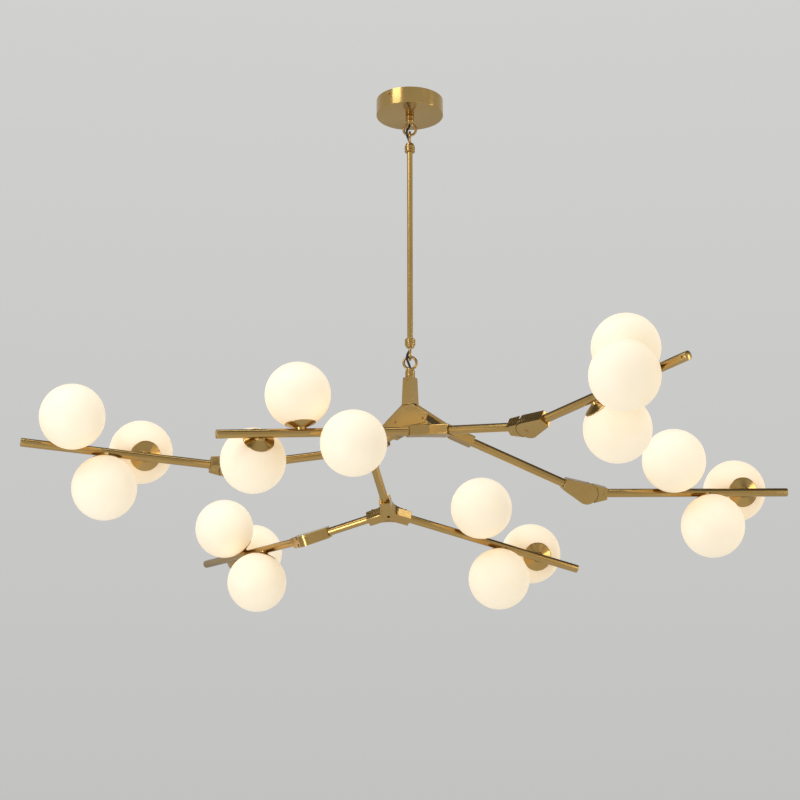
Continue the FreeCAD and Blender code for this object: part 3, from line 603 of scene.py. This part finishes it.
def link_cable(name, node, upper, lower, upper_body, lower_body, swing):
    """Supply cable bowed out beside two rings, from one hollow collar to the next."""
    side = Vector((-CABLE_BULGE, -CABLE_BULGE, 0))
    bowed = CABLE_LEAVE + CABLE_BOW
    route = [upper + UP * CABLE_LEAD, upper + UP * CABLE_STRAIGHT, upper + DOWN * CABLE_LEAVE,
             upper + DOWN * bowed + side, (upper + lower) / 2 + side, lower + UP * bowed + side,
             lower + UP * CABLE_LEAVE, lower + DOWN * CABLE_STRAIGHT, lower + DOWN * CABLE_LEAD]
    curve = bpy.data.curves.new(name, "CURVE")
    curve.dimensions = "3D"
    curve.bevel_depth = CABLE_RADIUS * MM
    curve.bevel_resolution = 6
    curve.resolution_u = 16
    curve.use_fill_caps = True
    spline = curve.splines.new("NURBS")
    spline.points.add(len(route) - 1)
    for point, place in zip(spline.points, route):
        point.co = (*(place * MM), 1)
    spline.order_u = 3
    spline.use_endpoint_u = True
    holder = bpy.data.objects.new(name + "_route", curve)
    bpy.context.scene.collection.objects.link(holder)
    bpy.context.view_layer.update()
    mesh = bpy.data.meshes.new_from_object(holder)
    bpy.data.objects.remove(holder)
    bm = bmesh.new()
    bm.from_mesh(mesh)
    start = swing * MM + UP * (CABLE_BLEND * MM)
    end = swing * MM + DOWN * (CABLE_BLEND * MM)
    piece(name, bm, sleeve, None, [node], sharp=50,
          blend=(upper_body, lower_body, start, end))


link_cable("upper_link_cable", "supply_cable_upper", canopy_collar_end, rod_top_collar_end,
           "canopy", "suspension_rod", upper_pivot)
link_cable("lower_link_cable", "supply_cable_lower", rod_bottom_collar_end, hub_collar_end,
           "suspension_rod", "hub", lower_pivot)

# ---------------------------------------------------------------- castings, tubes and rods

for node in ("main_hub", "left_junction", "back_junction", "hub_cover_plate"):
    dressed(node, cast_brass, "hub", 0.6)
for name, (_, _, fork_body, tongue_body) in ELBOWS.items():
    dressed(name + "_elbow_fork", cast_brass, fork_body, 0.5)
    dressed(name + "_elbow_tongue", cast_brass, tongue_body, 0.5)
dressed("hub_screws", cast_brass, "hub", 0)
dressed("elbow_pivot_screws", cast_brass, "hub", 0)
dressed("canopy_side_screws", bright_brass, "canopy", 0)


def grub_screw():
    """Head of a small set screw, with the dimple of its key."""
    return lathe([(0, 0.05), (0.9, 0.05), (1.3, 0.45), (GRUB_RADIUS - 0.35, 0.45),
                  (GRUB_RADIUS, 0.1), (GRUB_RADIUS, -0.6), (0, -0.6), (0, 0.05)], 32)


for name, (centre, arm, _, tongue_body) in ELBOWS.items():
    # the screw that holds the tube in the tongue's socket, on the face towards the front
    tongue_along = -arm if tongue_body == "hub" else BRANCHES[name][2]
    face = arm.cross(BRANCHES[name][2]).normalized()
    if face.y > 0:
        face = -face
    seat = centre + tongue_along * GRUB_STATION + face * SOCKET_HALF
    piece(name + "_grub_screw", grub_screw(), cast_brass, tongue_body,
          matrix=placed(seat, tongue_along, face))

for name, (start, end) in ARM_TUBES.items():
    along = (end - start).normalized()
    length = (end - start).length - 2 * TUBE_START
    piece(name + "_drawn", lathe(tube_profile(TUBE_RADIUS, TUBE_WALL, length), 64), drawn_brass,
          "hub", [name], placed(start + along * TUBE_START, any_side(along), along))


def globe_axes(name):
    """Rod axis point and outward direction of each globe, a third of a turn apart."""
    _, centre, along, reach, roll = BRANCHES[name]
    up = any_side(along)
    side = up.cross(along)
    for k, station in enumerate(STATIONS):
        turn = radians(roll + STATION_TURN * k)
        yield centre + along * (reach - station), up * cos(turn) + side * sin(turn)


def under_globe(radius, play):
    """Height at which a radius meets the globe's underside, widened by the play."""
    return GLOBE_CENTRE - sqrt((GLOBE_RADIUS + play) ** 2 - radius ** 2)


def cup_mesh():
    """Shallow cone that hugs the globe, with a rounded rim and a collar in the globe's mouth."""
    lip = CUP_RIM + CUP_WALL
    inside = CUP_RIM - CUP_WALL
    collar = GLOBE_MOUTH - CUP_PLAY
    edge = collar + CUP_WALL
    middle = (inside + edge) / 2
    profile = [(NIPPLE_HOLE, CUP_BASE), (CUP_FOOT - CUP_WALL, CUP_BASE), (CUP_FOOT, CUP_FLOOR),
               (CUP_RIM, under_globe(CUP_RIM, CUP_PLAY + CUP_WALL)),
               (lip, under_globe(lip, CUP_WALL)), (lip, under_globe(lip, CUP_PLAY)),
               (inside, under_globe(inside, CUP_PLAY)), (middle, under_globe(middle, CUP_PLAY)),
               (edge, under_globe(edge, CUP_PLAY)), (collar, under_globe(collar, 2 * CUP_PLAY)),
               (collar, CUP_COLLAR_TOP), (collar - CUP_WALL, CUP_COLLAR_TOP),
               (collar - CUP_WALL, CUP_TOP), (NIPPLE_HOLE, CUP_TOP), (NIPPLE_HOLE, CUP_BASE)]
    return lathe(eased(profile, 0.5, 3), 96)


def globe_mesh():
    """Blown ball with an open mouth, drawn with its wall."""
    def arc(radius, low_first):
        steps = 44
        start = -acos(GLOBE_MOUTH / radius)
        turns = [start + (pi / 2 - start) * k / steps for k in range(steps + 1)]
        points = [(radius * cos(t), GLOBE_CENTRE + radius * sin(t)) for t in turns]
        points[-1] = (0, GLOBE_CENTRE + radius)
        return points if low_first else points[::-1]
    outer_arc = arc(GLOBE_RADIUS, True)
    inner_arc = arc(GLOBE_RADIUS - GLOBE_WALL, False)
    bm = lathe(outer_arc, 72)
    lathe(inner_arc, 72, bm)
    lathe([inner_arc[-1], outer_arc[0]], 72, bm)
    bmesh.ops.remove_doubles(bm, verts=bm.verts, dist=1e-6)
    return bm


def drill(target, place, outward, radius):
    """A round hole through one wall, where the plug in a rod's end is pinned."""
    bm = lathe([(0, DRILL_FROM), (radius, DRILL_FROM), (radius, DRILL_TO), (0, DRILL_TO)], 24)
    bmesh.ops.recalc_face_normals(bm, faces=bm.faces)
    mesh = bpy.data.meshes.new("drill")
    bm.to_mesh(mesh)
    bm.free()
    tool = bpy.data.objects.new("drill", mesh)
    bpy.context.scene.collection.objects.link(tool)
    tool.matrix_world = placed(place + outward * DRILL_SEAT, any_side(outward), outward)
    cut = target.modifiers.new("cut", "BOOLEAN")
    cut.operation = "DIFFERENCE"
    cut.solver = "EXACT"
    cut.object = tool
    keep_modifiers(target)
    bpy.data.objects.remove(tool)
    target.data.set_sharp_from_angle(angle=radians(32))


for name, (body, centre, along, reach, _) in BRANCHES.items():
    start = centre + along * TUBE_START
    length = reach - TUBE_START
    plug = length - PLUG_DEPTH
    profile = [(TUBE_RADIUS - TUBE_WALL, 0), (TUBE_RADIUS, 0), (TUBE_RADIUS, length - ROD_END_EASE),
               (TUBE_RADIUS - ROD_END_EASE_MIDDLE, length - ROD_END_EASE_MIDDLE),
               (TUBE_RADIUS - ROD_END_EASE, length), (0, length), (0, plug),
               (TUBE_RADIUS - TUBE_WALL, plug), (TUBE_RADIUS - TUBE_WALL, 0)]
    stations = list(globe_axes(name))
    rod = piece(name + "_rod", lathe(profile, 64), drawn_brass, body,
                [name + "_globe_rod"], placed(start, any_side(along), along))
    drill(rod, centre + along * (reach - PIN_HOLE_STATION), stations[0][1], PIN_HOLE_RADIUS)
    for k, (point, outward) in enumerate(stations, 1):
        seat = placed(point, along, outward)
        piece("%s_cup_%d" % (name, k), cup_mesh(), turned_brass, body,
              [name + "_cups"], seat)
        piece("%s_globe_%d" % (name, k), globe_mesh(), opal_glass, body,
              [name + "_globes"], seat, baked=True)

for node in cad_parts:
    if node.endswith("_lampholders"):
        repaint(node, ceramic)
    elif node.endswith("_lamps"):
        repaint(node, frosted_lamp)
repaint("terminal_block", block_plastic)
repaint("mounting_bracket", zinc)
repaint("canopy_loop_nut", zinc)

# ---------------------------------------------------------------- stage, lights and camera

# lamp, in metres and watts: place, target, size, power, colour
LAMPS = {
    "key": ((-2.1, -2.0, 2.0), (0, 0, -0.7), (1.7, 1.7), 37, (1.0, 0.985, 0.96)),
    "low_left": ((-1.8, -1.75, -1.75), (-0.1, 0.1, -0.5), (0.55, 1.3), 17, (1.0, 0.98, 0.94)),
    "side": ((3.2, -0.75, -0.6), (0, 0, -0.7), (0.5, 2.2), 18, (1.0, 0.87, 0.70)),
    "top": ((0.0, -0.7, 1.8), (0, 0, -0.75), (3.6, 0.6), 17, (1.0, 0.99, 0.97)),
}
FLOOR_LEVEL = -2.8
FLOOR_HALF_WIDTH = 60.0
FLOOR_GLOW = 0.20
# the world as it is seen: place from straight down (0) to straight up (1), and brightness
SKY_LEVELS = [(0.0, 0.45), (0.40, 0.50), (0.50, 0.52), (0.745, 0.64), (0.775, 0.12), (1.0, 0.09)]
SKY_WARMTH = 0.985
SKY_LIGHT = 0.42
CAMERA_PLACE = (-0.019, -3.501, -1.675)
CAMERA_TILT = 106.9
CAMERA_LENS = 88.2


def area_light(name, place, target, size, power, colour):
    lamp = bpy.data.lights.new(name, "AREA")
    lamp.shape = "RECTANGLE"
    lamp.size = size[0]
    lamp.size_y = size[1]
    lamp.energy = power
    lamp.color = colour
    made = bpy.data.objects.new(name, lamp)
    bpy.context.scene.collection.objects.link(made)
    made.location = place
    made.rotation_euler = (Vector(target) - Vector(place)).to_track_quat("-Z", "Y").to_euler()


def stage_floor():
    """Wide pale floor that glows a little where it is seen, so that it meets the world softly."""
    m = Maker("stage_floor")
    m.set(Roughness=0.9)
    m.shader.inputs["Specular IOR Level"].default_value = 0.1
    grain = m.noise(m.coordinates("Object", (1, 1, 1)), 3.0)
    m.join(m.ramp(grain, FLOOR_TONES), m.shader.inputs["Base Color"])
    pale = m.node("ShaderNodeMath", operation="MULTIPLY")
    pale.inputs[1].default_value = FLOOR_GLOW
    m.join(seen_directly(m.tree), pale.inputs[0])
    m.set(Emission_Color=(1.0, 1.0, 0.985, 1))
    m.join(pale.outputs[0], m.shader.inputs["Emission Strength"])
    bm = bmesh.new()
    bmesh.ops.create_grid(bm, x_segments=8, y_segments=8, size=FLOOR_HALF_WIDTH)
    mesh = bpy.data.meshes.new("stage_floor")
    bm.to_mesh(mesh)
    bm.free()
    mesh.materials.append(m.material)
    made = bpy.data.objects.new("stage_floor", mesh)
    bpy.context.scene.collection.objects.link(made)
    made.location = (0, 0, FLOOR_LEVEL)


def studio_world():
    """Even soft light, and a pale room that is seen in the view and in the brass."""
    world = bpy.data.worlds.new("studio")
    bpy.context.scene.world = world
    world.use_nodes = True
    tree = world.node_tree
    tree.nodes.clear()
    out = tree.nodes.new("ShaderNodeOutputWorld")
    mix = tree.nodes.new("ShaderNodeMixShader")
    room = tree.nodes.new("ShaderNodeBackground")
    light = tree.nodes.new("ShaderNodeBackground")
    source = tree.nodes.new("ShaderNodeTexCoord")
    split = tree.nodes.new("ShaderNodeSeparateXYZ")
    span = tree.nodes.new("ShaderNodeMapRange")
    span.inputs["From Min"].default_value = -1.0
    shade = tree.nodes.new("ShaderNodeValToRGB")
    fill_ramp(shade.color_ramp,
              [(place, (level, level, level * SKY_WARMTH)) for place, level in SKY_LEVELS])
    light.inputs["Color"].default_value = (0.98, 0.99, 1.0, 1)
    light.inputs["Strength"].default_value = SKY_LIGHT
    for start, end in ((source.outputs["Generated"], split.inputs[0]),
                       (split.outputs["Z"], span.inputs["Value"]),
                       (span.outputs["Result"], shade.inputs["Fac"]),
                       (shade.outputs["Color"], room.inputs["Color"]),
                       (seen_directly(tree), mix.inputs["Fac"]),
                       (light.outputs[0], mix.inputs[1]),
                       (room.outputs[0], mix.inputs[2]),
                       (mix.outputs[0], out.inputs["Surface"])):
        tree.links.new(start, end)


def place_camera():
    camera = bpy.data.cameras.new("camera")
    camera.sensor_width = 36.0
    camera.lens = CAMERA_LENS
    camera.clip_end = 150.0
    viewer = bpy.data.objects.new("camera", camera)
    bpy.context.scene.collection.objects.link(viewer)
    viewer.location = CAMERA_PLACE
    viewer.rotation_euler = (radians(CAMERA_TILT), 0, 0)
    bpy.context.scene.camera = viewer


for name, settings in LAMPS.items():
    area_light(name, *settings)
stage_floor()
studio_world()
place_camera()
bpy.context.scene.view_settings.view_transform = "Standard"
